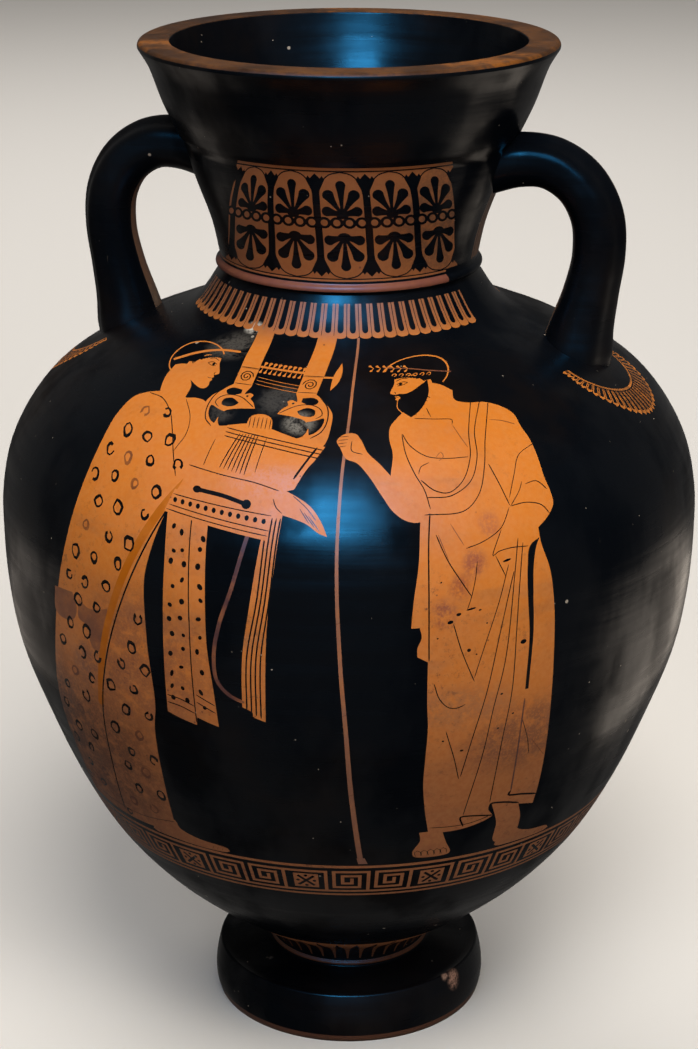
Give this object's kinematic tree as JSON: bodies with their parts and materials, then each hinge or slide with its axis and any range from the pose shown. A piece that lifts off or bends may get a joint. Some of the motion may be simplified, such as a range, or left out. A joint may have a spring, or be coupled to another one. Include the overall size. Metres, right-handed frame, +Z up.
{
  "type": "red-figure amphora",
  "caption": "Ancient-style two-handled neck-amphora in black-glossed fired clay with reserved red figures, open mouth, broad shoulder and disc foot.",
  "frame": {"origin": "on the ground under the vessel's axis, at the middle of its resting ring", "axes": "+Z up along the axis; the handles lie along X; the main picture faces -Y"},
  "size_m": [0.3588, 0.3588, 0.522],
  "materials": {
    "glossed_clay": "satin black gloss with reserved orange-red clay"
  },
  "bodies": {
    "root": {"amphora": "glossed_clay"}
  },
  "joints": []
}
